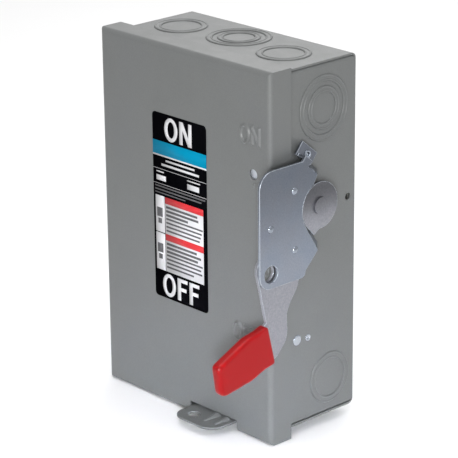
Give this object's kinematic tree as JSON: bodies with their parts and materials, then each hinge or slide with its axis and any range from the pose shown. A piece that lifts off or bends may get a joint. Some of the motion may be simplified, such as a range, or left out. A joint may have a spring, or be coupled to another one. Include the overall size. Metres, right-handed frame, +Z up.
{
  "type": "enclosed safety switch",
  "caption": "Wall-mounted steel disconnect switch box with a hinged cover, red side handle, padlock guard, knockouts, fuses and lugs inside.",
  "frame": {"origin": "centre of the four wall mounting holes, on the outer face of the back panel", "axes": "+X towards the handle side, +Y into the wall (the cover faces -Y), +Z up"},
  "size_m": [0.1842, 0.1412, 0.27],
  "materials": {
    "paint_grey": "satin powder coat",
    "zinc": "zinc plated, faintly blue",
    "label": "printed film",
    "grip_red": "dipped vinyl",
    "bushing": "oiled sintered metal",
    "base_black": "moulded phenolic",
    "rotor_brown": "moulded phenolic",
    "copper": "tin-flashed copper",
    "lug": "machined",
    "screw": "plated",
    "fuse_tube": "varnished fibre",
    "fuse_cap": "bright",
    "shield": "moulded",
    "ivory": "moulded",
    "green": "dyed plating"
  },
  "bodies": {
    "box": {"enclosure_wrap": "paint_grey", "side_wall_left": "paint_grey", "side_wall_right": "paint_grey", "side_wall_rivets": "zinc", "hasp_plate": "paint_grey", "guard_plate": "zinc", "guard_rivet": "zinc", "shaft_bushing": "bushing", "hinge_leaf_box": "paint_grey", "hinge_pins": "zinc", "interlock_keeper": "zinc", "mechanism_bracket": "zinc", "trunnion_pin": "screw", "switch_base": "base_black", "base_screws": "screw", "line_lugs": "lug", "line_lug_screws": "screw", "line_jaws": "copper", "load_jaws": "copper", "fuse_clips": "copper", "fuse_tubes": "fuse_tube", "fuse_caps": "fuse_cap", "load_lugs": "lug", "load_lug_screws": "screw", "line_shield": "shield", "neutral_block": "ivory", "neutral_bar": "lug", "neutral_screws": "screw", "ground_bar": "lug", "ground_screws": "green"},
    "cover": {"cover": "paint_grey", "cover_label": "label", "hinge_leaf_cover": "paint_grey", "cover_catch": "zinc"},
    "handle": {"handle_arm": "zinc", "handle_grip": "grip_red", "pivot_shaft": "zinc", "drive_crank": "zinc"},
    "rotor": {"rotor_bar": "rotor_brown", "switch_blades": "copper"},
    "toggle": {"toggle_guide": "zinc", "toggle_spring": "screw"},
    "interlock": {"interlock_slide": "zinc"}
  },
  "joints": [
    {"name": "cover_hinge", "type": "hinge", "parent": "box", "child": "cover", "pos_m": [-0.086, -0.0665, 0], "axis": [0, 0, -1], "range_deg": [0, 135]},
    {"name": "handle_turn", "type": "hinge", "parent": "box", "child": "handle", "pos_m": [0.0865, -0.0435, 0.0325], "axis": [-1, 0, 0], "range_deg": [0, 80]},
    {"name": "rotor_turn", "type": "hinge", "parent": "box", "child": "rotor", "pos_m": [0, -0.0435, 0.0325], "axis": [-1, 0, 0], "range_deg": [0, 80]},
    {"name": "toggle_swing", "type": "hinge", "parent": "box", "child": "toggle", "pos_m": [0.073, -0.0435, -0.0155], "axis": [1, 0, 0], "range_deg": [0, 24.88]},
    {"name": "interlock_lift", "type": "slide", "parent": "box", "child": "interlock", "axis": [0, 0, 1], "range_m": [0, 0.0051]}
  ],
  "couplings": [
    {"joint": "rotor_turn", "follows": "handle_turn", "ratio": 1},
    {"joint": "toggle_swing", "follows": "handle_turn", "ratio": 0.30972},
    {"joint": "interlock_lift", "follows": "handle_turn", "m_per_rad": 0.003581}
  ]
}
